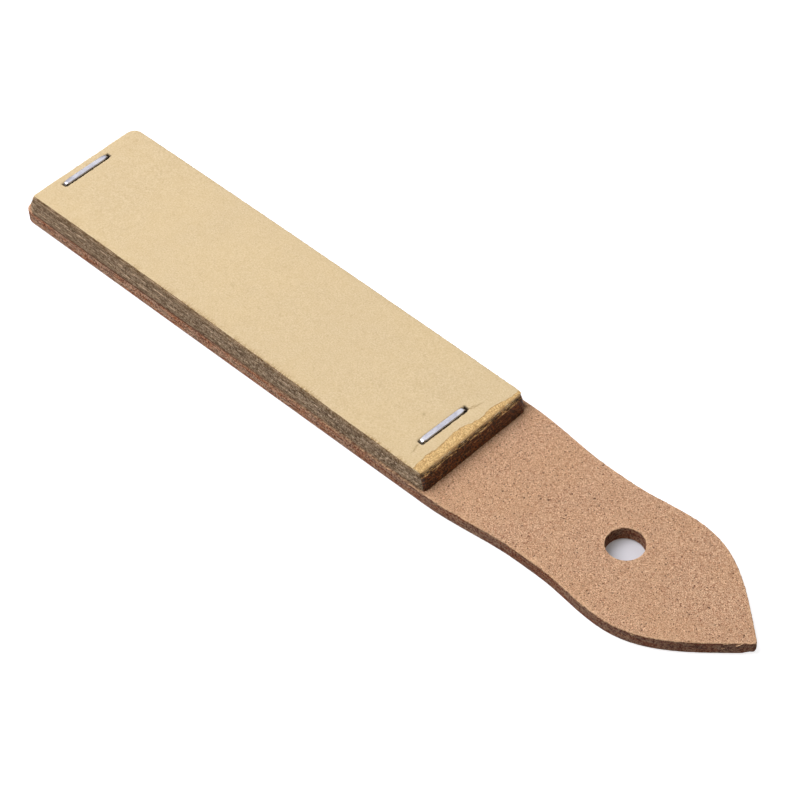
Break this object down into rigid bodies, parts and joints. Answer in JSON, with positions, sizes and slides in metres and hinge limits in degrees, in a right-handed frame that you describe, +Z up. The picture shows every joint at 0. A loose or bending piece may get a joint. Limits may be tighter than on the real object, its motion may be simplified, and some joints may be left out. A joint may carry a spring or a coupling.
{
  "type": "sandpaper pencil pointer",
  "caption": "Flat fibreboard paddle with a waisted handle, spear tip and hanging hole, carrying a stapled and glued stack of tear-off abrasive sheets for pointing pencil leads.",
  "frame": {"origin": "middle of the paddle's length and width, at the level of the surface that the clinched staple legs stand on", "axes": "+X along the paddle towards the pointed handle tip, +Y across it, +Z up through the stack of sheets"},
  "size_m": [0.1736, 0.0288, 0.008],
  "materials": {
    "fibreboard": "matt pressed fibreboard, fine dark pinholes and pale fibres",
    "abrasive_paper": "matt fine cream grit on grey-brown backing",
    "padding_glue": "dried glossy brown padding glue, amber where thin",
    "staple_wire": "bright galvanised flat wire"
  },
  "bodies": {
    "root": {"paddle": "fibreboard", "sheet_01": "abrasive_paper", "sheet_02": "abrasive_paper", "sheet_03": "abrasive_paper", "sheet_04": "abrasive_paper", "sheet_05": "abrasive_paper", "sheet_06": "abrasive_paper", "sheet_07": "abrasive_paper", "sheet_08": "abrasive_paper", "sheet_09": "abrasive_paper", "sheet_10": "abrasive_paper", "sheet_11": "abrasive_paper", "sheet_12": "abrasive_paper", "binding_glue": "padding_glue", "staple_far": "staple_wire", "staple_near": "staple_wire"}
  },
  "joints": []
}
